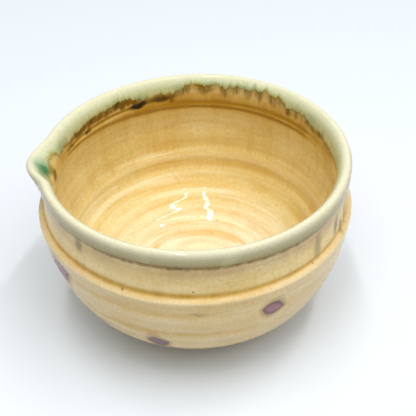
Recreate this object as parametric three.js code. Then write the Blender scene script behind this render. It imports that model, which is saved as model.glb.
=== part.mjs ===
// A wheel-thrown stoneware tea bowl with a pouring lip pinched out of its rim.
// Millimetres, +Z up. The bowl stands on its foot at z = 0 and the spout points along -X.
// The clay body has a foot ring luted under it and wears three coats of glaze:
// a yellow liner, a yellow outer coat, and a grey-green rim coat over the lip.
import * as THREE from "three";
import { mergeVertices } from "three/addons/utils/BufferGeometryUtils.js";

// Sizes of the finished bowl are measured over the glaze, as callipers would find them.
// A height is above the table and a drop is below the top of the lip.
const bowlHeight = 78;
const lipRadius = 62.5;

// Lip: a band with a groove pressed in under it, a rounded outer edge and a long slope inside
const lipDrop = 6.4;
const lipGroove = 1.1;
const lipEdge = 2;
const lipSlope = 6.2;

// Neck: a waist between the lip and the ledge
const neckInset = 1.4; // the neck is slimmer than the lip by this, all round
const neckDrop = 12.5;
const neckFlare = 0.8; // and widens again by this down to the ledge
const ledgeDrop = 20.7;
const ledgeWidth = 2.4; // from the foot of the neck to the sharp edge of the shoulder
const ledgeFall = 1.3;

// Lower wall: each inset is measured in from the shoulder, which is the widest part of the bowl
const flankInset = 2.7;
const flankHeight = 38.5;
const hipInset = 9.4;
const hipHeight = 21.8;
const hipBulge = 1.6; // the wall under the hip stands out of a straight line to the pad by this

// Foot ring, luted to a flat pad under the floor
const footHeight = 6.5;
const footRadius = 27.5;
const footWidth = 5;
const footSpread = 1.5; // the ring is wider by this on each side where it meets the pad
const footBevel = 0.9;
const padMargin = 5; // how far the pad reaches past the ring

// Walls, through clay and glaze. The crest is a low ridge inside, behind the neck.
const neckWall = 3.9;
const crestWall = 4.3;
const crestDrop = 14.6;
const bellyWall = 5.3;
const bellyShare = 0.92; // where the wall is that thick, as a share of the lower wall's length from the pad up
const flankWall = 5.5;
const flankShare = 0.7;
const hipWall = 6.6;
const hipShare = 0.42;
const floorThickness = 5;
const wellRadius = 29.5;
const wellFall = 1.5; // from the edge of the well to the middle of the floor

// Glaze
const glazeThickness = 0.7;
const glazeGap = 0.3; // left free between a coat and what it lies against
const rimCoatOutside = 9.2; // how far down the rim coat comes outside
const rimCoatInside = 7.6; // and inside

// Pouring lip
const spoutReach = 4.9;
const spoutHalfAngle = THREE.MathUtils.degToRad(15.5);
const spoutSharpness = 1.6;
const spoutDip = 1.3;
const spoutDrop = 11; // the bulge under the spout has died away this far below the lip

// Rings left by the fingers, from the bottom of the outer wall to the shoulder.
// A ring lies at a share of the wall's length and stands out of it by its rise.
// The first of them is the glaze line, below which the clay is bare.
const outerRings = [
  { share: 0.1, rise: 0 },
  { share: 0.22, rise: 0.1 },
  { share: 0.34, rise: -0.15 },
  { share: 0.45, rise: 0.25 },
  { share: 0.54, rise: -0.3 },
  { share: 0.62, rise: 0.35 },
  { share: 0.69, rise: -0.45 },
  { share: 0.77, rise: 0.3 },
  { share: 0.86, rise: 0.25 },
  { share: 0.92, rise: -0.4 },
  { share: 0.97, rise: 0.1 },
];

// The same inside, from the crest down to the middle of the floor
const innerRings = [
  { share: 0.02, rise: -0.25 },
  { share: 0.07, rise: 0.15 },
  { share: 0.15, rise: 0 },
  { share: 0.242, rise: -0.45 },
  { share: 0.28, rise: 0.45 },
  { share: 0.325, rise: -0.45 },
  { share: 0.379, rise: 0.4 },
  { share: 0.407, rise: -0.2 },
  { share: 0.434, rise: 0.35 },
  { share: 0.491, rise: -0.4 },
  { share: 0.544, rise: 0.45 },
  { share: 0.6, rise: 0 },
  { share: 0.656, rise: -0.4 },
  { share: 0.684, rise: 0.35 },
  { share: 0.709, rise: -0.35 },
  { share: 0.751, rise: 0.45 },
  { share: 0.84, rise: 0 },
];

// Facets
const segments = 48;
const spoutSegments = 14; // of them, those that make the spout
const edgeSteps = 3;
const slopeSteps = 5;

const neckRadius = lipRadius - neckInset;
const ledgeRadius = neckRadius + neckFlare;
const shoulderRadius = ledgeRadius + ledgeWidth;
const padRadius = footRadius + padMargin;

const point = (radius, height) => new THREE.Vector2(radius, height);

// The direction out of the clay, for an outline that runs up the outside and down the inside.
const outOf = (tangent) => point(tangent.y, -tangent.x).normalize();

// A point on a wall at a share of its length, standing out of it by a rise.
const onWall = (wall, share, rise) =>
  wall.getPointAt(share).addScaledVector(outOf(wall.getTangentAt(share)), rise);

const withRings = (wall, rings) => rings.map(({ share, rise }) => onWall(wall, share, rise));

// The outside of the lower wall, from the edge of the pad up to the shoulder.
function lowerWall() {
  const pad = point(padRadius, footHeight);
  const hip = point(shoulderRadius - hipInset, hipHeight);
  const turn = pad.clone().lerp(hip, 0.5);
  turn.addScaledVector(outOf(hip.clone().sub(pad)), hipBulge);
  const flank = point(shoulderRadius - flankInset, flankHeight);
  const shoulder = point(shoulderRadius, bowlHeight - ledgeDrop - ledgeFall);
  return new THREE.SplineCurve([pad, turn, hip, flank, shoulder]);
}

// The inside, from the crest down to the middle of the floor. It follows the lower wall from behind.
function insideWall() {
  const outside = lowerWall();
  const floor = footHeight + floorThickness;
  return new THREE.SplineCurve([
    point(neckRadius - crestWall, bowlHeight - crestDrop),
    onWall(outside, bellyShare, -bellyWall),
    onWall(outside, flankShare, -flankWall),
    onWall(outside, hipShare, -hipWall),
    point(wellRadius, floor + wellFall),
    point(0, floor),
  ]);
}

// The glazed face from the glaze line up to the edge of the rim coat.
function outerFace() {
  const wall = lowerWall();
  return [
    ...withRings(wall, outerRings),
    wall.getPoint(1),
    point(ledgeRadius, bowlHeight - ledgeDrop),
    point(neckRadius, bowlHeight - neckDrop),
    point(neckRadius, bowlHeight - rimCoatOutside),
  ];
}

// The face of the rim coat: up the lip's band, round its edge and down the slope inside.
function rimFace() {
  const inner = neckRadius - neckWall;
  const top = lipRadius - lipEdge;
  const edge = new THREE.EllipseCurve(top, bowlHeight - lipEdge, lipEdge, lipEdge, 0, Math.PI / 2);
  const slope = new THREE.EllipseCurve(
    top,
    bowlHeight - lipSlope,
    top - inner,
    lipSlope,
    Math.PI / 2,
    Math.PI,
  );
  return [
    point(neckRadius, bowlHeight - rimCoatOutside),
    point(lipRadius - lipGroove, bowlHeight - lipDrop),
    point(lipRadius, bowlHeight - lipDrop + lipGroove),
    ...edge.getPoints(edgeSteps),
    ...slope.getPoints(slopeSteps).slice(1),
    point(inner, bowlHeight - rimCoatInside),
  ];
}

// The glazed face from the edge of the rim coat down to the middle of the floor.
function innerFace() {
  const wall = insideWall();
  return [
    point(neckRadius - neckWall, bowlHeight - rimCoatInside),
    point(neckRadius - neckWall, bowlHeight - (rimCoatInside + crestDrop) / 2),
    wall.getPoint(0),
    ...withRings(wall, innerRings),
    wall.getPoint(1),
  ];
}

// The outline moved into the clay by a distance, each corner along its mitre.
function inset(outline, distance) {
  return outline.map((corner, i) => {
    if (corner.x === 0) return point(0, corner.y - distance);
    const before = outline[i - 1] ?? corner;
    const after = outline[i + 1] ?? corner;
    const into = outOf(corner.clone().sub(before));
    const away = outOf(after.clone().sub(corner));
    const mitre = into.clone().add(away).normalize();
    const side = into.lengthSq() > 0 ? into : away;
    return corner.clone().addScaledVector(mitre, -distance / mitre.dot(side));
  });
}

// The outline, shorter by a length at its start.
function trimStart(outline, length) {
  const [first, second, ...rest] = outline;
  const step = second.clone().sub(first).setLength(length);
  return [first.clone().add(step), second, ...rest];
}

// And at its end.
const trimEnd = (outline, length) => trimStart(outline.toReversed(), length).toReversed();

// A coat of glaze as thick as glazeThickness under a stretch of the glazed outline.
function coat(stretch) {
  const back = inset(stretch, glazeThickness).reverse();
  const endsOnAxis = stretch.at(-1).x === 0;
  return endsOnAxis ? [...back, ...stretch] : [...stretch, ...back, stretch[0]];
}

function footRing() {
  const inner = footRadius - footWidth;
  return [
    point(inner + footBevel, 0),
    point(footRadius - footBevel, 0),
    point(footRadius, footBevel),
    point(footRadius + footSpread, footHeight),
    point(inner - footSpread, footHeight),
    point(inner, footBevel),
    point(inner + footBevel, 0),
  ];
}

// The pull that makes the spout: clay near the lip moves outwards, and down a little, about the spout's direction.
function pinch(spot, turn) {
  const across = Math.min(Math.abs(turn) / spoutHalfAngle, 1);
  const below = THREE.MathUtils.smoothstep(bowlHeight - spot.z, 0, spoutDrop);
  const pull = Math.cos((across * Math.PI) / 2) ** spoutSharpness * (1 - below);
  const radius = Math.hypot(spot.x, spot.y) + spoutReach * pull;
  spot.set(-radius * Math.cos(turn), radius * Math.sin(turn), spot.z - spoutDip * pull);
}

// Even steps about the axis made finer over the spout and wider over the rest, counted from the spout.
function gather(turn) {
  const share = Math.abs(turn) / Math.PI;
  const spoutShare = spoutSegments / segments;
  const past = Math.max(share - spoutShare, 0) / (1 - spoutShare);
  const within = Math.min(share / spoutShare, 1);
  return Math.sign(turn) * (within * spoutHalfAngle + past * (Math.PI - spoutHalfAngle));
}

// A body revolved from its outline, then pinched.
function revolve(outline) {
  const geometry = new THREE.LatheGeometry(outline, segments);
  geometry.deleteAttribute("normal");
  geometry.deleteAttribute("uv");
  geometry.rotateX(Math.PI / 2);
  const position = geometry.getAttribute("position");
  const spot = new THREE.Vector3();
  for (let i = 0; i < position.count; i += 1) {
    spot.fromBufferAttribute(position, i);
    if (Math.hypot(spot.x, spot.y) > 1e-6) {
      pinch(spot, gather(Math.atan2(spot.y, -spot.x)));
    }
    position.setXYZ(i, spot.x, spot.y, spot.z);
  }
  return mergeVertices(geometry, 1e-4);
}

function piece(name, outline, material) {
  const mesh = new THREE.Mesh(revolve(outline), material);
  mesh.name = name;
  return mesh;
}

const stoneware = new THREE.MeshStandardMaterial({ color: "#b9a283", roughness: 0.9, metalness: 0 });
const yellowGlaze = new THREE.MeshStandardMaterial({ color: "#d2ad66", roughness: 0.15, metalness: 0 });
const rimGlaze = new THREE.MeshStandardMaterial({ color: "#bcb991", roughness: 0.15, metalness: 0 });

// The clay lies under the whole glazed face, and its flat pad closes it below.
function clayBody() {
  const face = [...outerFace(), ...rimFace().slice(1), ...innerFace().slice(1)];
  const pad = [point(0, footHeight), point(padRadius, footHeight)];
  return [...pad, ...inset(face, glazeThickness + glazeGap)];
}

const bowl = new THREE.Group();
bowl.add(piece("thrown_body", clayBody(), stoneware));
bowl.add(piece("foot_ring", footRing(), stoneware));
bowl.add(piece("outer_glaze", coat(trimEnd(outerFace(), glazeGap)), yellowGlaze));
bowl.add(piece("rim_glaze", coat(rimFace()), rimGlaze));
bowl.add(piece("liner_glaze", coat(trimStart(innerFace(), glazeGap)), yellowGlaze));

// The origin is under the middle of the bowl's plan, spout included.
const plan = new THREE.Box3().setFromObject(bowl).getCenter(new THREE.Vector3());
bowl.position.x = -plan.x;
bowl.position.y = -plan.y;

export default bowl;
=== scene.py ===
import math
from types import SimpleNamespace

import bpy
import numpy as np
from bpy.props import FloatProperty, FloatVectorProperty, PointerProperty
from mathutils import Matrix, Vector


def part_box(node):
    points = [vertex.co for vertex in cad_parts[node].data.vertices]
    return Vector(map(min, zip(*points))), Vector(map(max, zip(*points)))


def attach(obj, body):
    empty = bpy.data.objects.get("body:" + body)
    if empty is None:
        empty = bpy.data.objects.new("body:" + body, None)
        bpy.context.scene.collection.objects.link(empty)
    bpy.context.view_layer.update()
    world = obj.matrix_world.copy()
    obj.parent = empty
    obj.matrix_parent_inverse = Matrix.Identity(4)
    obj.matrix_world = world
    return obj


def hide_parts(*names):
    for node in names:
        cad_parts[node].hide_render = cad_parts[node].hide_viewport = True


bl_info = {
    "name": "Spouted Tea Bowl",
    "version": (1, 0, 0),
    "blender": (4, 5, 0),
    "location": "3D View > Sidebar > Tea Bowl",
    "description": "A wheel-thrown tea bowl with a pinched pouring lip, yellow ash glaze and a green rim",
    "category": "Add Mesh",
}

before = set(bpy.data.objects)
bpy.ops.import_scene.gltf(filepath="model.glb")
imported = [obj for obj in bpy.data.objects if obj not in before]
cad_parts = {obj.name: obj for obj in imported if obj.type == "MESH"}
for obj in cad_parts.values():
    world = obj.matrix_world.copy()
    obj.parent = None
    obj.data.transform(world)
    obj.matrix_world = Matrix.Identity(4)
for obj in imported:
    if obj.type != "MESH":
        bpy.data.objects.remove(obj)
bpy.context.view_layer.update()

MM = 0.001
FOOT_LOW, FOOT_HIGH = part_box("foot_ring")
AXIS_X = (FOOT_LOW[0] + FOOT_HIGH[0]) / 2 / MM
FOOT_HEIGHT = FOOT_HIGH[2] / MM
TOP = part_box("rim_glaze")[1][2] / MM
TURN = 2 * math.pi
COLUMNS = 360  # steps round the bowl
FACE_STEP = 0.5  # millimetres between rows of a face that shows
BACK_STEP = 2.0  # and of one that doesn't
FACE_ROWS = 60  # the least number of rows of a face that shows
OUTLINE_STEP = 0.1  # and between points of the outline
CORNER_MELT = 0.4  # how far melting glaze rounds the outline's corners
NECK_MELT = 1.6  # and the long hollow of the neck
BEAD_HEIGHT = 1.6  # the round roll at the lower edge of the glaze
WANDER_CELL = 60  # about how long the hand's waves are along the wall
FAR_SIDE = math.radians(87.6)  # where the rings inside were measured, straight across from the camera
NEAR_SIDE = FAR_SIDE - math.pi  # and those outside


def millimetres(name, value, description):
    """A length property. Its default is written in millimetres and kept in metres."""
    return FloatProperty(name=name, default=value * MM, description=description, unit="LENGTH", precision=5)


def linear(code):
    """The linear red, green and blue of an sRGB colour such as #c08040."""
    channels = [int(code[i : i + 2], 16) / 255 for i in (1, 3, 5)]
    return [c / 12.92 if c <= 0.04045 else ((c + 0.055) / 1.055) ** 2.4 for c in channels]


def colour(name, code, description):
    return FloatVectorProperty(
        name=name, default=linear(code), description=description, subtype="COLOR", size=3, min=0, max=1
    )


def point(name, place, description):
    """A place in metres."""
    return FloatVectorProperty(
        name=name, default=place, description=description, subtype="TRANSLATION", unit="LENGTH", size=3
    )


class BowlSizes(bpy.types.PropertyGroup):
    """Sizes of the finished bowl, over the glaze. A drop is measured down from the top of the lip."""

    lip_radius: millimetres("Lip radius", 62.5, "Outside of the lip")
    lip_edge: millimetres("Lip edge", 2.0, "Rounding of the outer edge of the lip")
    lip_slope: millimetres("Lip slope", 6.2, "Drop of the long slope inside the lip")
    lip_drop: millimetres("Lip drop", 6.4, "Drop to the groove under the lip")
    lip_groove: millimetres("Lip groove", 1.1, "Depth of the groove under the lip")
    neck_inset: millimetres("Neck inset", 1.4, "How much slimmer the neck is than the lip, all round")
    neck_drop: millimetres("Neck drop", 12.5, "Drop to the waist of the neck")
    neck_flare: millimetres("Neck flare", 0.8, "How far the neck widens again towards the ledge")
    ledge_drop: millimetres("Ledge drop", 20.7, "Drop to the foot of the neck")
    ledge_width: millimetres("Ledge width", 2.4, "From the foot of the neck to the shoulder's edge")
    ledge_fall: millimetres("Ledge fall", 1.3, "How far the ledge slopes down")
    flank_inset: millimetres("Flank inset", 2.7, "How far the flank lies inside the shoulder")
    flank_height: millimetres("Flank height", 38.5, "Height of the flank over the table")
    hip_inset: millimetres("Hip inset", 9.4, "How far the hip lies inside the shoulder")
    hip_height: millimetres("Hip height", 21.8, "Height of the hip over the table")
    hip_bulge: millimetres("Hip bulge", 1.6, "How far the wall under the hip bulges")
    pad_margin: millimetres("Pad margin", 5.0, "How far the flat underside reaches past the foot ring")
    foot_radius: millimetres("Foot radius", 27.5, "Outside of the foot ring at the table")
    foot_width: millimetres("Foot width", 5.0, "Width of the foot ring at the table")
    foot_spread: millimetres("Foot spread", 1.5, "How far the ring widens, each side, up to the pad")
    foot_bevel: millimetres("Foot bevel", 0.9, "Rounding of the edges that stand on the table")
    neck_wall: millimetres("Neck wall", 3.9, "Thickness of the neck")
    crest_wall: millimetres("Crest wall", 4.3, "Thickness at the ridge inside the neck")
    crest_drop: millimetres("Crest drop", 14.6, "Drop to the ridge inside the neck")
    belly_wall: millimetres("Belly wall", 5.3, "Thickness at the shoulder")
    flank_wall: millimetres("Flank wall", 5.5, "Thickness at the flank")
    hip_wall: millimetres("Hip wall", 6.6, "Thickness at the hip")
    floor_thickness: millimetres("Floor thickness", 5.0, "Thickness in the middle of the floor")
    well_radius: millimetres("Well radius", 29.5, "Where the inside wall turns into the floor")
    well_fall: millimetres("Well fall", 1.5, "How far the floor falls to its middle")
    glaze_thickness: millimetres("Glaze thickness", 0.7, "Thickness of each coat")
    glaze_line: millimetres("Glaze line", 6.3, "How far up the wall the outer glaze starts")
    rim_outside: millimetres("Rim coat outside", 9.2, "Drop to the edge of the rim coat outside")
    rim_inside: millimetres("Rim coat inside", 7.6, "Drop to the edge of the rim coat inside")
    ring_height: millimetres("Ring height", 0.42, "Height of the throwing rings above their mean")
    wander: millimetres("Wander", 0.3, "How far the hand-thrown wall wanders from true")
    spout_reach: millimetres("Spout reach", 4.9, "How far the spout reaches past the lip")
    spout_dip: millimetres("Spout dip", 1.3, "How far the spout's edge lies below the lip")
    spout_drop: millimetres("Spout drop", 11.0, "Drop at which the spout's bulge has died away")
    spout_half_angle: FloatProperty(
        name="Spout half angle",
        default=math.radians(15.5),
        subtype="ANGLE",
        description="Half of the spout's width, seen from the bowl's axis",
    )


class GlazeColours(bpy.types.PropertyGroup):
    """Colours of the fired clay and glazes."""

    liner: colour("Liner", "#e4cf8e", "Yellow ash glaze on the inner wall")
    # Painted highlight: the floor's glaze is painted paler and less yellow, where the light falls strongest.
    well: colour("Well", "#efe0c0", "Yellow ash glaze on the floor")
    neck: colour("Neck", "#eed69a", "Yellow ash glaze round the outside of the neck")
    outer: colour("Outer", "#e3cb9a", "Yellow ash glaze lower down, where it lies thinner over the clay")
    pooled: colour("Pooled", "#cfa545", "Yellow glaze where it runs thick into a groove")
    amber: colour("Amber", "#a4780a", "Yellow glaze at its thickest, under the lip inside")
    thin: colour("Thin", "#f6eecb", "Yellow glaze where it is thin over a ridge")
    # The lip's cream top is partly thin glaze and partly a painted highlight.
    lip: colour("Lip", "#dbd8b7", "Rim glaze drawn thin over the top of the lip")
    celadon: colour("Celadon", "#d6dbb6", "Rim glaze inside the lip")
    sage: colour("Sage", "#ccd3a4", "Rim glaze lower down inside the lip, where it is thicker")
    olive: colour("Olive", "#bfbf7c", "Rim glaze just above its lower edge")
    moss: colour("Moss", "#93823a", "Rim glaze where it mixes with the yellow below it")
    # These three darken down the outside of the lip into the groove under it: partly the rim glaze's own
    # colour, partly painted shade.
    shade: colour("Shade", "#c5bfa3", "Rim glaze on the turn of the lip outside")
    band: colour("Band", "#b4a97f", "Rim glaze on the outside of the lip, over iron-rich clay")
    umber: colour("Umber", "#8f7946", "Rim glaze in the groove under the lip")
    mist: colour("Mist", "#bf9d78", "Rim glaze that ran thin over the neck, a pinkish grey")
    drip: colour("Drip", "#7f7046", "Rim glaze that ran down the neck in drips")
    copper: colour("Copper green", "#347546", "Rim glaze where it pools deep in the spout")
    verdigris: colour("Verdigris", "#95b48c", "Rim glaze tinted by the copper in it")
    fringe: colour("Fringe", "#7d5a00", "The brown edge where the two glazes meet")
    # Also laid over the low leaf as painted shade.
    iron: colour("Iron", "#180d02", "Iron spots and the darkest streaks")
    leaf: colour("Leaf", "#9d7079", "The mauve leaf marks outside")
    vein: colour("Vein", "#663f33", "The darker edge of the leaf marks")
    clay: colour("Clay", "#c3a984", "Bare stoneware, fired buff")


class StageSettings(bpy.types.PropertyGroup):
    """Floor, lamps and camera."""

    floor_colour: colour("Floor", "#dfe4e8", "Plain paper floor")
    sky: FloatProperty(name="Sky", default=0.25, min=0, description="Brightness of the even light all round")
    softbox: FloatProperty(name="Softbox", default=2.2, min=0, description="Radiance of the softbox overhead")
    window: FloatProperty(name="Window", default=0.1, min=0, description="Radiance of the large lamp behind")
    side: FloatProperty(name="Side", default=0.75, min=0, description="Radiance of the lamp on the right")
    tube: FloatProperty(name="Tube", default=30, min=0, description="Radiance of the long lamps overhead")
    camera_place: point("Camera", (-0.00933, -0.2551, 0.25818), "Where the camera stands")
    camera_aim: point("Aim", (0.00685, 0.00856, 0.04), "The point in the middle of the picture")
    camera_roll: FloatProperty(
        name="Roll", default=math.radians(1.14), subtype="ANGLE", description="Turn about the line of sight"
    )
    camera_lens: FloatProperty(name="Lens", default=67.5, description="Focal length", unit="CAMERA")


def sizes():
    """The size properties as plain numbers in millimetres, with the angle in radians."""
    group = bpy.context.scene.tea_bowl_sizes
    s = SimpleNamespace(spout_half_angle=group.spout_half_angle)
    for key in BowlSizes.__annotations__.keys() - {"spout_half_angle"}:
        setattr(s, key, getattr(group, key) / MM)
    return s


# The bowl's outline, in millimetres: radius and height over the table


def smooth_through(points, steps=60):
    """A smooth curve through points, as the CAD model's walls have it."""
    points = np.asarray(points, float)
    padded = np.vstack([points[:1], points, points[-1:]])
    t = np.linspace(0, 1, steps, endpoint=False)[:, None]
    spans = []
    for before, start, end, after in zip(padded, padded[1:], padded[2:], padded[3:]):
        leave = (end - before) / 2
        arrive = (after - start) / 2
        cubic = 2 * start - 2 * end + leave + arrive
        square = -3 * start + 3 * end - 2 * leave - arrive
        spans.append(cubic * t**3 + square * t**2 + leave * t + start)
    return np.vstack([*spans, points[-1:]])


def lengths_along(points):
    return np.concatenate([[0], np.cumsum(np.hypot(*np.diff(points, axis=0).T))])


def outward(points):
    """Unit normals out of the clay, for a line that runs up the outside and down the inside."""
    tangent = np.gradient(points, axis=0)
    tangent /= np.linalg.norm(tangent, axis=1)[:, None]
    return np.column_stack([tangent[:, 1], -tangent[:, 0]])


def at_share(points, share, rise):
    """A point on a line at a share of its length, standing out of it by a rise."""
    along = lengths_along(points)
    normals = outward(points)
    spot = [np.interp(share * along[-1], along, points[:, k]) for k in (0, 1)]
    lean = [np.interp(share * along[-1], along, normals[:, k]) for k in (0, 1)]
    return [spot[0] + rise * lean[0], spot[1] + rise * lean[1]]


def lower_wall(s):
    """The outside of the wall, from the edge of the pad up to the shoulder."""
    shoulder = s.lip_radius - s.neck_inset + s.neck_flare + s.ledge_width
    pad = np.array([s.foot_radius + s.pad_margin, FOOT_HEIGHT])
    hip = np.array([shoulder - s.hip_inset, s.hip_height])
    across = (hip - pad) / np.hypot(*(hip - pad))
    turn = (pad + hip) / 2 + s.hip_bulge * np.array([across[1], -across[0]])
    flank = [shoulder - s.flank_inset, s.flank_height]
    return smooth_through([pad, turn, hip, flank, [shoulder, TOP - s.ledge_drop - s.ledge_fall]])


def inside_wall(s, outside):
    """The inside, from the crest behind the neck down to the middle of the floor."""
    floor = FOOT_HEIGHT + s.floor_thickness
    # The belly, the flank and the hip lie at these shares of the way up the outside.
    return smooth_through([
        [s.lip_radius - s.neck_inset - s.crest_wall, TOP - s.crest_drop],
        at_share(outside, 0.92, -s.belly_wall),
        at_share(outside, 0.7, -s.flank_wall),
        at_share(outside, 0.42, -s.hip_wall),
        [s.well_radius, floor + s.well_fall],
        [0, floor],
    ])


class Outline:
    """The glazed outline as radius, height and normal at any length along it from the edge of the pad."""

    def __init__(self, s):
        wall = lower_wall(s)
        inside = inside_wall(s, wall)
        neck = s.lip_radius - s.neck_inset
        inner_neck = neck - s.neck_wall
        top = s.lip_radius - s.lip_edge
        turn = np.linspace(0, math.pi / 2, 25)
        edge_line = np.column_stack([
            top + s.lip_edge * np.cos(turn),
            TOP - s.lip_edge + s.lip_edge * np.sin(turn),
        ])
        slope_line = np.column_stack([
            top - (top - inner_neck) * np.sin(turn),
            TOP - s.lip_slope + s.lip_slope * np.cos(turn),
        ])[1:]
        neck_line = [
            [neck + s.neck_flare, TOP - s.ledge_drop],
            [neck, TOP - s.neck_drop],
            [neck, TOP - s.rim_outside],
            [s.lip_radius - s.lip_groove, TOP - s.lip_drop],
            [s.lip_radius, TOP - s.lip_drop + s.lip_groove],
        ]
        inner_line = [
            [inner_neck, TOP - s.rim_inside],
            [inner_neck, TOP - (s.rim_inside + s.crest_drop) / 2],
        ]
        corners = np.vstack([wall, neck_line, edge_line, slope_line, inner_line, inside])
        along = lengths_along(corners)
        first_lip = len(wall) + len(neck_line)
        first_inner = first_lip + len(edge_line) + len(slope_line)
        self.shoulder = along[len(wall) - 1]
        self.ledge = along[len(wall)]
        self.rim_start = along[len(wall) + 2]
        self.groove = along[len(wall) + 3]
        self.lip = along[first_lip + len(edge_line) - 1]
        self.rim_end = along[first_inner]
        self.crest = along[first_inner + len(inner_line)]
        self.end = along[-1]
        self.along = np.arange(0, self.end + OUTLINE_STEP / 2, OUTLINE_STEP)
        self.along[-1] = self.end
        line = np.column_stack([np.interp(self.along, along, corners[:, k]) for k in (0, 1)])
        rounded = self.rounded(line, CORNER_MELT)
        soft = self.rounded(line, NECK_MELT)
        # The hollow counts in full over the middle half of the neck, and not at its ends.
        middle = (self.ledge + self.rim_start) / 2
        away = np.abs(self.along - middle) / ((self.rim_start - self.ledge) / 2)
        share = np.clip(2.2 - away * 2.4, 0, 1)
        self.line = rounded + (soft - rounded) * share[:, None]
        self.normals = outward(self.line)

    def rounded(self, line, melt):
        """The line with its corners rounded. Its two ends stay where they are."""
        reach = int(4 * melt / OUTLINE_STEP)
        kernel = np.exp(-0.5 * (np.arange(-reach, reach + 1) * OUTLINE_STEP / melt) ** 2)
        kernel /= kernel.sum()
        before = 2 * line[0] - line[reach:0:-1]
        after = 2 * line[-1] - line[-2 : -reach - 2 : -1]
        padded = np.vstack([before, line, after])
        return np.column_stack([np.convolve(padded[:, k], kernel, "valid") for k in (0, 1)])

    def place(self, side, drop):
        """The length along the outline at a drop, outside (1) or inside (-1)."""
        top = int(round(self.lip / OUTLINE_STEP))
        if side > 0:
            return np.interp(TOP - drop, self.line[:top, 1], self.along[:top])
        return np.interp(drop - TOP, -self.line[top:, 1], self.along[top:])

    def at(self, length):
        """Radius, height and the normal's two parts at lengths along the outline."""
        columns = (self.line[:, 0], self.line[:, 1], self.normals[:, 0], self.normals[:, 1])
        return [np.interp(length, self.along, column) for column in columns]


# The potter's hand: rings left by the fingers, lines left by the rib, and a wall that wanders from true

# Ridges (even entries) and grooves (odd entries) up the outside, as lengths from the shoulder down
OUTER_RINGS = [2.0, 6.3, 12.0, 20.0, 25.0, 30.0, 35.0, 41.0, 46.0, 52.0, 58.0]
OUTER_WEIGHTS = [0.2, 0.6, 0.6, 0.7, 0.8, 0.5, 0.4, 0.5, 0.7, 0.4, 0.3]

RING_FADE = 6  # how far before the first ring and past the last one the rings die away

# The same inside, as lengths from the crest down to the middle of the floor, ridges first
INNER_RINGS = [
    8.0, 13.0, 17.0, 22.4, 28.4, 33.0, 36.8, 41.0, 46.3, 49.5, 53.6, 56.0,
    58.7, 61.7, 64.7, 67.7, 71.5, 75.0, 78.5, 83.0, 87.0, 91.0,
]
INNER_WEIGHTS = [
    0.2, 0.2, 0.35, 0.9, 1.0, 0.9, 0.9, 0.7, 0.6, 0.8, 0.9, 0.8,
    0.7, 0.9, 0.9, 0.8, 1.0, 0.7, 0.6, 0.5, 0.5, 0.2,
]

# Fine lines pressed by the rib: the bearing in degrees and the place where each starts and ends, its
# half-width on the lip's side and on the other, and its height. A place is the way from the lip's top along
# the wall, outside positive.
RIB_LINES = [
    (20, -14.1, 108, -15.4, 0.5, 0.5, -0.26),
    (26, -15.3, 110, -16.3, 0.45, 0.45, 0.12),
    (20, -16.9, 116, -17.3, 0.6, 0.6, -0.24),
    (102, -17.3, 168, -14.7, 0.6, 0.6, -0.26),
    (106, -10.1, 170, -13.5, 0.35, 0.35, 0.16),
    (100, -11.9, 168, -13.1, 0.45, 0.45, -0.34),
    (106, -13.6, 168, -14.3, 0.5, 0.5, 0.14),
    (-400, 9.9, 400, 9.9, 0.6, 0.6, -0.1),
    (-128, 12.8, -66, 12.8, 0.6, 0.6, -0.16),
    (-400, 16.3, 400, 16.3, 0.8, 0.8, -0.06),
    (-155, 34.8, -86, 34.8, 0.4, 1.2, 0.14),
    (-155, 33.3, -84, 33.3, 1.8, 0.4, -0.17),
    (-138, 47.4, -70, 47.4, 0.4, 1.2, 0.14),
    (-138, 45.9, -68, 45.9, 1.8, 0.4, -0.19),
    (-60, 38.5, 10, 36.5, 2.0, 0.5, -0.14),
    (20, 31.0, 120, 33.0, 2.2, 0.5, -0.16),
    (60, 44.5, 160, 47.0, 2.2, 0.5, -0.16),
    (130, 37.5, 200, 34.5, 2.0, 0.5, -0.14),
]
RIB_FADE = 14  # the degrees over which a line starts and ends

# How the rim glaze ran down inside: a bearing in degrees, how far from the lip's top the glaze's edge lies
# there, and how dark and how wide the brown fringe below it is. Narrow flames of clean yellow rise through
# the fringe.
RIM_RUNS = [
    (-15, 9.5, 0.2, 1.5), (0, 10.4, 0.4, 2.4), (10, 10.8, 0.55, 2.6), (14, 10.0, 0.4, 2.6),
    (18, 10.4, 1.1, 2.8), (20.5, 9.4, 0.5, 2.6), (23.5, 10.4, 1.1, 3.0), (26, 9.4, 0.5, 2.6),
    (28.5, 9.6, 1.1, 3.0), (31, 8.4, 0.4, 3.0), (33, 7.6, 0.5, 3.4), (35, 8.7, 1, 4.3),
    (37.5, 6.9, 0.3, 3.7), (40.6, 8.7, 1, 4.5), (43.7, 5.7, 0.4, 3.7), (46, 5.7, 0.8, 4.7),
    (48, 6.1, 1, 5.3), (50, 5.7, 0.8, 5.1), (52.3, 4.5, 0.1, 3.7), (55.6, 6.1, 1, 5.7),
    (59, 5.9, 0.3, 3.7), (61.3, 7.7, 1, 5.1), (64.6, 5.3, 0.1, 3.7), (67.3, 6.3, 0.9, 4.9),
    (69.5, 5.7, 0.2, 3.7), (72.3, 7.7, 1, 5.3), (76.3, 5.3, 0.2, 3.7), (79, 5.7, 0.7, 4.7),
    (82, 6.3, 1, 5.3), (85, 6.1, 0.9, 5.1), (87.9, 5.1, 0.1, 3.7), (90, 6.3, 0.9, 4.7),
    (92.8, 7.1, 0.6, 3.7), (97, 10.4, 0.6, 1.4), (104, 9.4, 0.7, 1.6), (111, 10.0, 0.7, 1.5),
    (117, 7.8, 1.5, 3.8), (133, 8.0, 1.5, 4.0), (141, 9.0, 1.5, 3.4), (148, 9.4, 1.5, 3.2),
    (156, 10.2, 0.7, 1.8), (167, 9.6, 0.3, 1.2), (170, 6.2, 0.15, 1.0), (174, 6.2, 0.15, 1.0),
    (178, 8.6, 0.4, 1.4), (185, 9.2, 0.3, 1.4), (200, 8.5, 0.2, 1.4),
]

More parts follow.
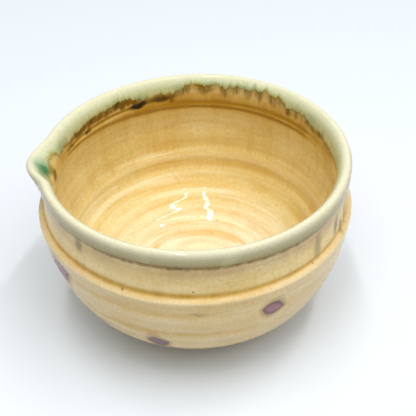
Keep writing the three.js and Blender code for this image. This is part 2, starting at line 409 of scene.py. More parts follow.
# The run of the rim glaze outside, the same all round: its edge, and how dark and how wide its fringe is
OUTSIDE_RUN = (8.6, 0.75, 1.6)


def bump_at(length, place, half_width):
    return np.exp(-0.5 * ((length - place) / half_width) ** 2)


def bearings(angle):
    """Bearings in degrees, from -180 to 180."""
    return (np.degrees(angle) + 180) % 360 - 180


def ring_wave(length, angle, extremes, weights, measured_at):
    """Throwing rings along a wall, climbing it as one spiral: a ring for each turn of the wheel."""
    counts = np.arange(len(extremes)) / 2
    phase = np.interp(length, extremes, counts)
    ends = [extremes[0] - RING_FADE, *extremes, extremes[-1] + RING_FADE]
    weight = np.interp(length, ends, [0, *weights, 0])
    offset = ((angle - measured_at + math.pi) % TURN - math.pi) / TURN
    return weight * np.cos(TURN * (phase - offset))


def wander_noise(seed, angle, height, waves, cell):
    """Smooth seeded noise round the bowl and along its wall, about -1 to 1."""
    random = np.random.default_rng(seed)
    total = np.zeros(np.broadcast(angle, height).shape)
    for wave in range(1, waves + 1):
        phases = random.uniform(0, TURN, 3)
        rise = random.uniform(0.5, 1.5) * TURN / cell
        total += np.cos(wave * angle + phases[0] + np.sin(height * rise + phases[1])) / wave**0.7
    return total / waves**0.5


def finger_rings(outline, length, angle):
    """The throwing rings, from -1 in a groove to 1 on a ridge: a spiral inside, and level ones outside."""
    inside = ring_wave(length - outline.crest, angle, INNER_RINGS, INNER_WEIGHTS, FAR_SIDE)
    outside = ring_wave(outline.shoulder - length, NEAR_SIDE, OUTER_RINGS, OUTER_WEIGHTS, NEAR_SIDE)
    return inside + outside * (0.6 + 0.4 * wander_noise(21, angle, 0 * length, 4, WANDER_CELL))


def rib_lines(outline, length, angle):
    """The height of the lines that the rib pressed."""
    place = outline.lip - length
    bearing = bearings(angle)
    height = np.zeros(length.shape)
    for first, start, last, end, lip_side, far_side, rise in RIB_LINES:
        middle = start + (end - start) * (bearing - first) / (last - first)
        fade = np.clip((bearing - first) / RIB_FADE, 0, 1) * np.clip((last - bearing) / RIB_FADE, 0, 1)
        half_width = np.where((place - middle) * np.sign(place) < 0, lip_side, far_side)
        height = height + rise * fade * bump_at(place, middle, half_width)
    return height


def hand(s, outline, length, angle):
    """How far the thrown face stands out of its true outline."""
    place = outline.lip - length
    # The rib flattened the rings on the floor.
    ring_height = np.interp(length - outline.crest, [-40, 0, 30, 40], [1, 0.8, 0.8, 0.15]) * s.ring_height
    rise = finger_rings(outline, length, angle) * ring_height + rib_lines(outline, length, angle)
    # The wall runs true again over the last 25 mm to the middle of the floor and the last 12 mm to the pad.
    fade = np.clip((outline.end - length) / 25, 0, 1) * np.clip(length / 12, 0, 1)
    rise = rise + s.wander * fade * wander_noise(3, angle, -place, 5, WANDER_CELL)
    # The wall swells left of the spout, at the shoulder.
    left_of_spout = bearings(angle - math.radians(195))
    rise = rise + 0.9 * bump_at(left_of_spout, 0, half_width=18) * bump_at(place, 28, half_width=12)
    # Turning the foot took a little more off the hip at the front.
    rise = rise - 1.7 * bump_at(bearings(angle), -100, half_width=30) * bump_at(length, 7, half_width=6.5)
    # The skin has fine unevenness, which the wet fingers smoothed away on the lip.
    fine = wander_noise(11, angle, -place, 3, 2.1) + wander_noise(12, angle, -place, 3, 3.7)
    return rise + 0.013 * fine * fade * (1 - bump_at(place, 0, half_width=3.2))


def pinch(s, radius, height, angle):
    """The pull that makes the spout: clay near the lip moves outwards, and down a little."""
    turn = (angle % TURN) - math.pi
    across = np.minimum(np.abs(turn) / s.spout_half_angle, 1)
    below = np.clip((TOP - height) / s.spout_drop, 0, 1)
    below = below * below * (3 - 2 * below)
    pull = np.cos(across * math.pi / 2) ** 1.6 * (1 - below)
    # Pulling the spout drew the lip in beside it, and the lip dips a little at the far side. Both die away
    # 24 mm below the lip.
    near_lip = np.clip(1 - (TOP - height) / 24, 0, 1)
    drawn_in = 0.9 * bump_at(bearings(angle), 128, half_width=22) * near_lip
    dip = 0.45 * bump_at(bearings(angle), 95, half_width=40) * near_lip
    return radius - drawn_in + s.spout_reach * pull, height - dip - s.spout_dip * pull


# Meshes


def round_bowl(shape=COLUMNS):
    """The angle of every column of a grid."""
    return np.broadcast_to(np.arange(COLUMNS) * TURN / COLUMNS, shape)


def revolved(radius, height):
    """Points in metres of a face round the axis, from radii and heights in millimetres."""
    angle = round_bowl()
    points = [AXIS_X + radius * np.cos(angle), radius * np.sin(angle), height + 0 * angle]
    return np.stack(points, axis=-1) * MM


def face_points(s, outline, length, depth):
    """Points in metres of a face. Rows are lengths along the outline, columns go round the bowl."""
    angle = round_bowl(length.shape)
    radius, height, out, up = outline.at(length)
    rise = hand(s, outline, length, angle) - depth
    radius = np.maximum(radius + rise * out, 0)
    height = height + rise * up
    return revolved(*pinch(s, radius, height, angle))


def build_piece(name, points, normals=None, attributes=()):
    """A closed piece from a grid of points. Rows run along its section and columns round the bowl.

    The last row joins the first. A row that lies on the axis becomes one point.
    """
    rows = len(points)
    ids = np.arange(rows * COLUMNS).reshape(rows, COLUMNS)
    radius = np.hypot(points[..., 0] - AXIS_X * MM, points[..., 1])
    on_axis = radius.max(axis=1) < 1e-7
    ids[on_axis] = ids[on_axis][:, :1]
    above = np.roll(ids, -1, axis=0)
    quads = np.stack([ids, np.roll(ids, -1, axis=1), np.roll(above, -1, axis=1), above], axis=-1)
    used, renumbered = np.unique(quads, return_inverse=True)
    corners = (list(dict.fromkeys(quad)) for quad in renumbered.reshape(-1, 4).tolist())
    faces = [face for face in corners if len(face) > 2]
    mesh = bpy.data.meshes.new(name)
    mesh.from_pydata(points.reshape(-1, 3)[used], [], faces)
    if mesh.validate():
        raise RuntimeError(f"the mesh of {name} has bad faces")
    for key, kind, field, values in attributes:
        layer = mesh.attributes.new(key, kind, "POINT")
        values = np.asarray(values, np.float32).reshape(rows * COLUMNS, -1)[used]
        layer.data.foreach_set(field, np.ascontiguousarray(values).ravel())
    mesh.polygons.foreach_set("use_smooth", [True] * len(mesh.polygons))
    mesh.update()
    if normals is not None:
        mesh.normals_split_custom_set_from_vertices(normals.reshape(-1, 3)[used])
    piece = bpy.data.objects.new(name, mesh)
    bpy.context.scene.collection.objects.link(piece)
    return piece


def place_piece(piece, node, material):
    """Puts a piece in its CAD node's place, with its finish."""
    piece.data.materials.append(material)
    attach(piece, "root")
    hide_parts(node)


def grid_normals(points):
    """Normals of a grid of rows that closes on itself round the bowl. On the axis they are upright."""
    onward = np.gradient(points, axis=0)
    across = np.roll(points, -1, axis=1) - np.roll(points, 1, axis=1)
    normals = np.cross(across, onward)
    size = np.linalg.norm(normals, axis=-1, keepdims=True)
    upright = np.broadcast_to([0.0, 0.0, 1.0], normals.shape)
    return np.where(size > 1e-14, normals / np.maximum(size, 1e-14), upright)


def pooled_glaze_and_highlight(outline, length, angle):
    """How thick the glaze has run: below 0 on the ridges, and up to about 3 where it pools. On the shoulder's
    edge it goes below 0 partly for a painted highlight.
    """
    place = outline.lip - length
    bearing = np.degrees(angle)
    inside = place < 0
    pool_and_highlight = -finger_rings(outline, length, angle) * np.where(inside, 0.8, 1.0)
    pool_and_highlight = pool_and_highlight - rib_lines(outline, length, angle) * np.where(inside, 7, 3.4)
    # Round the crest it rises, most of all on the far side, and darkens the colour there.
    crest = np.interp(bearing, [0, 25, 50, 108, 128, 160, 200], [0.9, 1.3, 2.2, 2.2, 1.3, 0.8, 0.8])
    pool_and_highlight = pool_and_highlight + crest * bump_at(place, -16.2, half_width=2.1)
    # Above the crest it is thick too, up to the brown fringe.
    collar = np.interp(bearing, [0, 15, 165, 175, 360], [0.8, 1.3, 1.3, 0, 0])
    pool_and_highlight = pool_and_highlight + collar * np.interp(place, [-16, -13.5, -10.3, -8.3], [0, 1, 1, 0])
    # It lies on the ledge unevenly and fills the groove. On the shoulder it thins out, partly thin glaze over
    # the edge and partly a painted highlight.
    ledge = np.interp(bearing, [0, 60, 250, 300, 330, 360], [1.1, 1.5, 1.9, 1.8, 1.3, 1.1])
    ledge = ledge * (1 + 0.3 * wander_noise(31, angle, 0 * length, 12, WANDER_CELL))
    pool_and_highlight = pool_and_highlight + ledge * bump_at(length, outline.ledge + 0.3, half_width=1.15)
    pool_and_highlight = pool_and_highlight + 1.2 * bump_at(length, outline.groove, half_width=0.7)
    # The thinning on the shoulder is partly a painted highlight.
    return pool_and_highlight - 0.8 * bump_at(length, outline.shoulder, half_width=1.1)


def glaze_attributes(s, outline, length):
    """What the glaze reads: the wall unrolled onto a cylinder, the pooling, and the edge of the rim glaze."""
    angle = round_bowl(length.shape)
    place = outline.lip - length
    unrolled = [s.lip_radius * np.cos(angle), s.lip_radius * np.sin(angle), place]
    bearing, *columns = np.array(RIM_RUNS).T
    edge, fringe, width = [
        np.where(place > 0, outside, np.interp(np.degrees(angle), bearing, column, period=360))
        for outside, column in zip(OUTSIDE_RUN, columns)
    ]
    return [
        ("unrolled", "FLOAT_VECTOR", "vector", np.stack(unrolled, axis=-1) * MM),
        ("pooling_and_highlight", "FLOAT", "value", pooled_glaze_and_highlight(outline, length, angle)),
        ("past_rim", "FLOAT", "value", np.abs(place) - edge),
        ("fringe", "FLOAT", "value", fringe),
        ("fringe_width", "FLOAT", "value", width),
    ]


def shares(length, step):
    """Even shares from 0 to 1 for a length that is cut into steps."""
    return np.linspace(0, 1, max(int(math.ceil(length / step)), 2) + 1)[:, None]


def bead_depth(rise, thickness):
    """How deep the face lies at the glaze's lower edge, a thick round roll where it stopped running.

    Rise is the way up from the edge, in bead heights.
    """
    rounding = np.sqrt(np.clip(1 - (1 - np.clip(rise, 0, 1)) ** 2, 0, 1))
    return 1.15 * thickness * (1 - rounding) - 0.28 * bump_at(rise, 1.3, half_width=0.8)


def glaze_coat(name, s, outline, start, end, bead=False):
    """One coat as a closed shell. Start and end are lengths along the outline."""
    start = np.broadcast_to(start, COLUMNS)
    end = np.broadcast_to(end, COLUMNS)
    reach = (end - start).mean()
    length = start + (end - start) * shares(reach, min(FACE_STEP, reach / FACE_ROWS))
    # One row more at each end gives the coats that meet there the same normals.
    length = np.vstack([2 * length[:1] - length[1:2], length, 2 * length[-1:] - length[-2:-1]])
    thickness = s.glaze_thickness
    depth = bead_depth((length - start) / BEAD_HEIGHT, thickness) if bead else 0
    front = face_points(s, outline, np.clip(length, 0, outline.end), depth)
    normals = grid_normals(front)[1:-1]
    back_length = end + (start - end) * shares(reach, BACK_STEP)
    back = face_points(s, outline, back_length, thickness)
    back_normals = grid_normals(back)
    if end.max() > outline.end - 0.01:
        # The liner's back starts on the axis, where it faces down.
        back_normals[0] = (0, 0, -1)
    return build_piece(
        name,
        np.concatenate([front[1:-1], back]),
        np.concatenate([normals, back_normals]),
        glaze_attributes(s, outline, np.concatenate([length[1:-1], back_length])),
    )


# Materials


def add(tree, kind, inputs=None, stops=None, **settings):
    """Adds a shader node with its settings. Each input takes a value or another node's output."""
    node = tree.nodes.new(f"ShaderNode{kind}")
    node.location = (220 * (len(tree.nodes) % 12), -260 * (len(tree.nodes) // 12))
    for key, value in settings.items():
        setattr(node, key, value)
    for key, value in (inputs or {}).items():
        if isinstance(value, bpy.types.NodeSocket):
            tree.links.new(value, node.inputs[key])
        else:
            node.inputs[key].default_value = value
    if stops:
        ramp = node.color_ramp.elements
        while len(ramp) < len(stops):
            ramp.new(1)
        for element, (position, shade) in zip(ramp, stops):
            element.position = position
            element.color = shade
    return node.outputs


def rgba(value):
    return (*value, 1)


def new_material(name):
    material = bpy.data.materials.new(name)
    material.use_nodes = True
    material.node_tree.nodes.clear()
    return material, material.node_tree


# Noise patterns in the glaze. Each follows the unrolled wall or its place in space, and has the size of its
# features in millimetres, its detail, its roughness, and the scale of each axis, where less draws it out.
PATTERNS = {
    "slow": ("place", 22, 3, 0.55, None),  # slow changes of colour
    "runs": ("unrolled", 3, 3, 0.65, (1, 1, 0.16)),  # glaze that ran down the wall
    "clouds": ("unrolled", 9, 3, 0.55, (1, 1, 0.5)),  # in the mist under the rim
    "ribs": ("unrolled", 1.3, 1, 0.55, (0.05, 0.05, 1)),  # fine lines left by the rib
    "grain": ("place", 0.7, 2, 0.7, None),  # undissolved ash
    "smears": ("unrolled", 6, 3, 0.6, (0.2, 0.2, 1)),  # thicker and thinner glaze, 30 mm long
    "arcs": ("unrolled", 3, 2, 0.55, (0.045, 0.045, 1)),  # what the wheel drew low in the bowl
    "ragged": ("unrolled", 1.3, 3, 0.65, (1, 1, 0.2)),  # the rim glaze's edge, torn finely
    "wavy": ("unrolled", 3.4, 1, 0.55, (1, 1, 0.1)),  # and in longer waves
    "mottle": ("unrolled", 5, 3, 0.55, (1, 1, 0.4)),  # thicker and thinner rim glaze
    "veins": ("unrolled", 1.7, 3, 0.65, (1, 1, 0.14)),  # copper in the rim glaze
    "patches": ("unrolled", 1.9, 2, 0.55, (1, 1, 0.3)),  # in the brown fringe
    "streaks": ("unrolled", 1.0, 3, 0.55, (1, 1, 0.12)),  # iron in the brown fringe
    "peel": ("place", 1.1, 2, 0.55, None),  # orange peel
}
FEATURE = 0.6  # how long a noise texture's features are at scale 1

# Layers of the yellow glaze, first to last: a colour, and the steps that say how much of it shows. A step is
# a pattern or field, the values where it starts and ends, and the shares there where they aren't 0 and 1.
# Along is the way from the lip's top along the wall in millimetres, outside positive.
YELLOW_LAYERS = [
    # The floor is painted paler here, a painted highlight of the light that falls on it.
    ("well", ("along", -56, -82)),
    ("neck", ("along", -1.5, 1.5)),
    ("outer", ("along", 20, 24)),
    ("pooled", ("slow", 0.4, 0.7, 0, 0.35)),
    ("pooled", ("runs", 0.45, 0.7, 0, 0.35), ("along", -62, -40), ("along", 17, 24, 1, 0.25)),
    ("mist", ("clouds", 0.35, 0.6, 0.2, 0.65), ("along", 9, 10), ("along", 17, 11)),
    ("pooled", ("ribs", 0.35, 0.65, 0, 0.16)),
    ("thin", ("grain", 0.52, 0.72, 0, 0.17)),
    ("pooled", ("grain", 0.46, 0.3, 0, 0.2)),
    ("thin", ("smears", 0.53, 0.7, 0, 0.2)),
    ("pooled", ("smears", 0.48, 0.3, 0, 0.34)),
    ("thin", ("arcs", 0.55, 0.68, 0, 0.45), ("along", -32, -46), ("along", -98, -84, 0.4, 1)),
    ("pooled", ("arcs", 0.46, 0.34, 0, 0.42), ("along", -32, -46), ("along", -98, -84, 0.4, 1)),
    ("pooled", ("pooling_and_highlight", 0.1, 1.6, 0, 0.75)),
    ("amber", ("pooling_and_highlight", 0.9, 2.8, 0, 0.92)),
    # Pale where it is thin over ridges; on the shoulder's edge this is partly a painted highlight.
    ("thin", ("pooling_and_highlight", -0.25, -1.5, 0, 0.6)),
]

# The rim glaze down to its edge, inside and outside: how far the colours reach, and where each one lies
RIM_INSIDE = (-8, [(0.06, "lip"), (0.4, "celadon"), (0.8, "sage")])
# Outside, the pale top is partly a painted highlight, and the darker colours down to the groove are partly
# painted shade.
RIM_OUTSIDE = (9, [(0.04, "lip"), (0.2, "shade"), (0.5, "band"), (0.85, "umber")])

# Its layers, inside only and all over. Torn is the way past its torn edge in millimetres.
RIM_INSIDE_LAYERS = [("olive", ("torn", -2.8, -1.0)), ("moss", ("torn", -1.3, 0.0))]
RIM_LAYERS = [
    ("sage", ("mottle", 0.5, 0.75, 0, 0.3)),
    ("verdigris", ("torn", -6, -1.5), ("veins", 0.48, 0.7, 0, 0.6), ("along", 0, -3)),
]

# Marks: bearing round the bowl in degrees, distance from the lip's top along the wall (outside positive),
# half-width, half-height and tilt, then the colour, how much of it shows and how soft its edge is. These are
# copper in the rim glaze.
RIM_MARKS = [
    (26.0, -7.6, 5.0, 2.6, 0, "verdigris", 0.45, 1.4),
    (62.0, -5.6, 9.0, 1.4, 0, "verdigris", 0.4, 1.4),
    (77.0, -5.4, 6.0, 1.3, 0, "verdigris", 0.45, 1.4),
    (94.0, -6.6, 2.5, 1.8, 0, "verdigris", 0.4, 1.4),
    (112.5, -8.8, 3.6, 2.0, 0, "verdigris", 0.55, 1.2),
    (127.0, -6.6, 7.0, 1.0, 0, "verdigris", 0.3, 1.4),
    (163.5, -7.6, 4.6, 2.2, 0, "verdigris", 0.6, 1.3),
    (181.0, -5.0, 5.4, 4.2, 0, "verdigris", 0.75, 1.2),
]

# And these lie over both glazes.
MARKS = [
    # dark streaks in the brown run left of the far side
    (102.0, -11.2, 7.4, 1.6, 0, "fringe", 1.0, 0.9),
    (102.5, -11.4, 5.4, 0.8, 0, "iron", 0.6, 1.0),
    (97.5, -12.8, 1.3, 1.3, 0, "fringe", 0.9, 0.8),
    (113.7, -11.9, 5.0, 1.7, -4, "fringe", 1.0, 0.7),
    (113.7, -11.9, 4.4, 1.3, -4, "iron", 1.0, 0.7),
    (142.5, -13.0, 2.2, 1.0, 0, "iron", 0.8, 0.9),
    (141.8, -11.6, 1.3, 2.2, 0, "fringe", 0.8, 1.0),
    (156.0, -13.4, 3.4, 0.6, -6, "iron", 0.6, 0.9),
    # green and brown that gathered in the spout
    (181.2, -5.6, 4.0, 3.0, 0, "copper", 0.65, 1.2),
    (180.6, -6.4, 2.2, 1.8, 0, "copper", 1.0, 1.0),
    (177.8, -9.4, 2.6, 2.2, 0, "moss", 0.8, 1.2),
    (176.9, -13.0, 2.6, 2.6, 0, "fringe", 1.0, 0.8),
    (176.7, -13.2, 1.7, 1.6, 0, "iron", 0.7, 0.9),
    # mauve leaf marks outside, and painted shade over the low one
    (-66.6, 36.0, 4.8, 3.5, 16, "leaf", 1.0, 0.3),
    (-150.2, 34.8, 7.0, 4.8, -24, "leaf", 1.0, 0.3),
    (-108.6, 54.6, 4.8, 4.6, -12, "leaf", 1.0, 0.3),
    # painted shade over the low leaf, which lies in the shade near the bottom
    (-108.6, 54.8, 3.6, 3.2, -12, "iron", 0.4, 1.2),
    # iron specks outside
    (-118.7, 23.0, 0.6, 0.5, 0, "iron", 0.6, 0.8),
    (-94.0, 19.8, 0.5, 0.6, 0, "iron", 0.6, 0.8),
    (-93.0, 31.5, 3.4, 1.0, 12, "fringe", 0.3, 1.2),
    # grey-brown drips of the rim glaze outside
    (-137.5, 12.6, 1.9, 3.0, 4, "drip", 0.75, 1.4),
    (-46.2, 17.0, 2.0, 5.0, 0, "drip", 0.6, 1.4),
    (-33.0, 16.5, 1.8, 4.6, 20, "drip", 0.8, 1.2),
    (-28.5, 20.5, 1.6, 3.4, 20, "drip", 0.8, 1.2),
    (-22.5, 18.5, 1.8, 4.4, 20, "drip", 0.8, 1.2),
]
MARK_DEPTH = 30  # a mark's reach through the wall, far more than the wall curves across it

# Dots in some of the cells of a grid: the grid in millimetres, the colour channel that chooses the cells, the
# steps of that channel and of the distance from a cell's middle, how much shows, the colour, and other steps
DOTS = [
    # iron specks of the clay that bleed through, up to 0.9 mm across
    (7, "Red", (0.62, 0.7), (0.075, 0.035), 0.5, "iron", ()),
    # burst bubbles in the yellow glaze inside, up to 0.8 mm across
    (3, "Green", (0.72, 0.9), (0.14, 0.07), 0.7, "thin", (("along", -17, -22), ("along", -66, -50))),
]


class GlazeNodes:
    """The glaze's node tree, its colours, and its fields: the outputs that go by a name."""

    def __init__(self, tree, colours):
        self.tree = tree
        self.palette = {key: rgba(getattr(colours, key)) for key in GlazeColours.__annotations__}
        self.fields = {"place": self.add("TexCoord")["Object"]}
        for key in ("unrolled", "pooling_and_highlight", "past_rim", "fringe", "fringe_width"):
            read = self.add("Attribute", attribute_name=key)
            self.fields[key] = read["Vector" if key == "unrolled" else "Fac"]
        height = self.add("SeparateXYZ", {0: "unrolled"})["Z"]
        self.fields["along"] = self.share(height, 1 / MM)
        for key, (vector, size, detail, roughness, scale) in PATTERNS.items():
            if scale:
                vector = self.add("Mapping", {"Vector": vector, "Scale": scale})[0]
            inputs = {"Scale": FEATURE / (size * MM), "Detail": detail, "Roughness": roughness}
            self.fields[key] = self.add("TexNoise", {"Vector": vector, **inputs})[0]
        self.fields["pooling_and_highlight"] = self.share("pooling_and_highlight", ("runs", 0.3, 0.7, 0.85, 1.15))
        self.fields["torn"] = self.torn_edge()
        # Noise shifts the wall under the marks and so frays them, the leaves only a little.
        inputs = {"Vector": "unrolled", "Scale": FEATURE / (2.2 * MM), "Detail": 3}
        noise = self.add("TexNoise", inputs)["Color"]
        centred = self.add("VectorMath", {0: noise, 1: (0.5, 0.5, 0.5)}, operation="SUBTRACT")[0]
        for key, reach in (("frayed", 3.0), ("crisp", 1.05)):
            shift = self.add("VectorMath", {0: centred, "Scale": reach * MM}, operation="SCALE")[0]
            self.fields[key] = self.add("VectorMath", {0: "unrolled", 1: shift}, operation="ADD")[0]

    def add(self, kind, inputs=None, stops=None, **settings):
        """Adds a node to the glaze. An input may take a field by its name."""
        named = {key: self.fields.get(value, value) for key, value in (inputs or {}).items()}
        return add(self.tree, kind, named, stops, **settings)

    def share(self, *steps):
        """How much of something shows: the product of its steps. A step may be a number or a field too."""
        product = None
        for step in steps:
            if isinstance(step, tuple):
                field, start, end, first, last = step if len(step) == 5 else (*step, 0, 1)
                inputs = {0: field, 1: start, 2: end, 3: first, 4: last}
                step = self.add("MapRange", inputs, interpolation_type="SMOOTHSTEP")[0]
            if product is None:
                product = self.fields.get(step, step)
            else:
                product = self.add("Math", {0: product, 1: step}, operation="MULTIPLY")[0]
        return product

    def layer(self, under, over, *steps):
        """A colour, or another surface, laid over the one under it as far as its steps show it."""
        inputs = {0: self.share(*steps), 6: under, 7: self.palette.get(over, over)}
        return self.add("Mix", inputs, data_type="RGBA")[2]

    def layers(self, surface, rows):
        """The rows' layers, each over the one before."""
        for tint, *steps in rows:
            surface = self.layer(surface, tint, *steps)
        return surface

    def torn_edge(self):
        """The way past the rim glaze's edge, which is ragged in small steps and in waves 3 mm long."""
        stray = 0
        for key, reach in (("ragged", 0.9), ("wavy", 0.8)):
            swing = self.add("MapRange", {0: key, 1: 0.3, 2: 0.7, 3: -reach, 4: reach})[0]
            stray = self.add("Math", {0: stray, 1: swing}, operation="ADD")[0]
        # Outside it strays less.
        stray = self.share(stray, ("along", 3, -3, 0.35, 1))
        return self.add("Math", {0: "past_rim", 1: stray}, operation="ADD")[0]

    def rim_glaze(self):
        """The rim glaze: thin and cream over the lip, the cream partly a painted highlight, then green-grey,
        darkening outside with painted shade towards the groove under the lip, and mossy at its edge inside.
        """
        sides = []
        for reach, places in (RIM_INSIDE, RIM_OUTSIDE):
            down = self.add("MapRange", {0: "along", 1: 0, 2: reach})[0]
            stops = [(position, self.palette[tint]) for position, tint in places]
            sides.append(self.add("ValToRGB", {0: down}, stops)[0])
        inside = self.layers(sides[0], RIM_INSIDE_LAYERS)
        surface = self.layer(inside, sides[1], ("along", -0.4, 0.4))
        return self.marks(self.layers(surface, RIM_LAYERS), RIM_MARKS)

    def marks(self, surface, rows):
        """Marks laid over a surface: ovals, and leaves."""
        radius = bpy.context.scene.tea_bowl_sizes.lip_radius
        for bearing, drop, half_width, half_height, tilt, tint, amount, softness in rows:
            turn = math.radians(bearing)
            inputs = {
                "Vector": "crisp" if tint == "leaf" else "frayed",
                "Location": (radius * math.cos(turn), radius * math.sin(turn), drop * MM),
                "Rotation": (math.radians(tilt), 0, turn),
                "Scale": (MARK_DEPTH * MM, half_width * MM, half_height * MM),
            }
            where = self.add("Mapping", inputs, vector_type="TEXTURE")[0]
            edge = (1 + softness / 2, 1 - softness / 2, 0, amount)
            if tint == "leaf":
                surface = self.leaf(surface, where, edge)
            else:
                away = self.add("VectorMath", {0: where}, operation="LENGTH")["Value"]
                surface = self.layer(surface, tint, (away, *edge))
        return surface

    def leaf(self, surface, where, edge):
        """A mauve leaf with pointed ends, a brown halo and a darker edge."""
        part = self.add("SeparateXYZ", {0: where})
        across = self.add("Math", {0: part["Z"]}, operation="ABSOLUTE")[0]
        away = self.add("Math", {0: part["Y"], 1: part["Y"], 2: across}, operation="MULTIPLY_ADD")[0]
        surface = self.layer(surface, "fringe", (away, 2.3, 0.9, 0, 0.55))
        surface = self.layer(surface, "leaf", (away, *edge))
        return self.layer(surface, "vein", (away, 0.4, 0.8), (away, 1.2, 0.95, 0, 0.6))

    def meeting(self, yellow, rim):
        """The rim glaze over the yellow one, with a brown fringe under its edge."""
        # Where the fringe is faint the edge is soft.
        soft = self.add("Math", {0: "fringe", 1: -1.6, 2: 2.4}, operation="MULTIPLY_ADD")[0]
        surface = self.layer(yellow, rim, ("torn", soft, self.share(soft, -0.6)))
        # The fringe keeps its strength for half its width and then fades away. Patches break it up.
        left = self.add("Math", {0: "fringe_width", 1: "torn"}, operation="SUBTRACT")[0]
        left = self.add("Math", {0: left, 1: "fringe_width"}, operation="DIVIDE")[0]
        fringe = self.add("Clamp", {0: self.share(("torn", -0.9, 0.3), left, 2.0)})[0]
        fringe = self.share(fringe, "fringe", ("patches", 0.36, 0.56, 0.6, 1))
        surface = self.layer(surface, "fringe", fringe, 0.94)
        return self.layer(surface, "iron", fringe, ("streaks", 0.48, 0.66), 0.5)

    def dots_and_craze(self, surface):
        """Iron specks and burst bubbles, and the craze in plates of about 2 mm, coarser than the real one."""
        for grid, channel, chosen, edge, amount, tint, steps in DOTS:
            cells = self.add("TexVoronoi", {"Vector": "place", "Scale": 1 / (grid * MM)})
            picked = self.add("SeparateColor", {0: cells["Color"]})[channel]
            surface = self.layer(surface, tint, (cells["Distance"], *edge), (picked, *chosen), *steps, amount)
        inputs = {"Vector": "place", "Scale": 1 / (2.2 * MM)}
        crack = self.add("TexVoronoi", inputs, feature="DISTANCE_TO_EDGE")["Distance"]
        return self.layer(surface, "fringe", (crack, 0.05, 0.0, 0, 0.16))

    def relief(self):
        """The bump of rib lines, orange peel, and pinholes 2.6 mm apart."""
        pits = self.add("TexVoronoi", {"Vector": "place", "Scale": 1 / (2.6 * MM)})["Distance"]
        height = self.share("ribs", 0.5)
        for part in (self.share("peel", 0.5), self.share((pits, 0.16, 0.05, 0, -0.6))):
            height = self.add("Math", {0: height, 1: part}, operation="ADD")[0]
        return self.add("Bump", {"Strength": 0.25, "Distance": 0.06 * MM, "Height": height})[0]


def ash_glaze(colours):
    """Ash glaze on stoneware, dipped yellow with a green-grey rim poured over it, fired to a melt.

    It gives the eye a clear gloss over a mottled body: amber where it has run into the throwing grooves,
    pale where it is drawn thin over the ridges, with a ragged brown fringe where the two glazes meet.
    """
    material, tree = new_material("ash_glaze_on_stoneware")
    glaze = GlazeNodes(tree, colours)
    yellow = glaze.layers(glaze.palette["liner"], YELLOW_LAYERS)
    surface = glaze.meeting(yellow, glaze.rim_glaze())
    surface = glaze.dots_and_craze(glaze.marks(surface, MARKS))
    # The outside below the rim is softer, with the half-matt skin of an ash glaze that cooled slowly.
    parts = {0: glaze.share(("grain", 0.3, 0.7, 0.02, 0.06)), 1: glaze.share(("along", 8, 11, 0, 0.2))}
    roughness = add(tree, "Math", parts, operation="ADD")[0]
    inputs = {
        "Base Color": surface,
        "Roughness": roughness,
        "IOR": 1.5,
        "Specular IOR Level": 0.26,
        "Normal": glaze.relief(),
    }
    add(tree, "OutputMaterial", {"Surface": add(tree, "BsdfPrincipled", inputs)[0]})
    return material


def bare_stoneware(colours):
    """Stoneware clay, thrown and turned, fired without glaze: matt, sandy buff with iron grit."""
    material, tree = new_material("bare_stoneware")
    place = add(tree, "TexCoord")["Object"]
    clay = rgba(colours.clay)
    toasted = rgba([channel * left for channel, left in zip(colours.clay, (0.8, 0.66, 0.52))])
    # A blush of the kiln in patches of 15 mm, sand grains of two thirds of a millimetre, and grit 4 mm apart
    inputs = {"Vector": place, "Scale": FEATURE / (15 * MM), "Detail": 3}
    blush = add(tree, "TexNoise", inputs)[0]
    surface = add(tree, "ValToRGB", {0: blush}, [(0.35, clay), (0.7, toasted)])[0]
    inputs = {"Vector": place, "Scale": FEATURE / (2 / 3 * MM), "Detail": 2}
    sand = add(tree, "TexNoise", inputs)[0]
    grit = add(tree, "TexVoronoi", {"Vector": place, "Scale": 1 / (4 * MM)})["Distance"]
    for pattern, start, end, most, tint in (
        (sand, 0.5, 0.75, 0.4, toasted),
        (grit, 0.1, 0.05, 0.7, rgba(colours.iron)),
    ):
        amount = add(tree, "MapRange", {0: pattern, 1: start, 2: end, 3: 0, 4: most})[0]
        surface = add(tree, "Mix", {0: amount, 6: surface, 7: tint}, data_type="RGBA")[2]
    bump = add(tree, "Bump", {"Strength": 0.7, "Distance": 0.15 * MM, "Height": sand})[0]
    inputs = {"Base Color": surface, "Roughness": 0.85, "IOR": 1.5, "Normal": bump}
    add(tree, "OutputMaterial", {"Surface": add(tree, "BsdfPrincipled", inputs)[0]})
    return material


def plain_paper(tint):
    """Matt white paper for the floor, with no shine. It keeps the shadow, and fades away far out."""
    material, tree = new_material("white_paper")
    paper = add(tree, "BsdfDiffuse", {"Color": rgba(tint), "Roughness": 0.5})[0]
    place = add(tree, "TexCoord")["Object"]
    away = add(tree, "VectorMath", {0: place}, operation="LENGTH")["Value"]
    gone = add(tree, "MapRange", {0: away, 1: 0.4, 2: 1.4}, interpolation_type="SMOOTHSTEP")[0]
    clear = add(tree, "BsdfTransparent")[0]
    shader = add(tree, "MixShader", {0: gone, 1: paper, 2: clear})[0]
    add(tree, "OutputMaterial", {"Surface": shader})
    return material


def shared(name, make, colours):
    """A material that several pieces wear, made once."""
    return bpy.data.materials.get(name) or make(colours)


# Operators


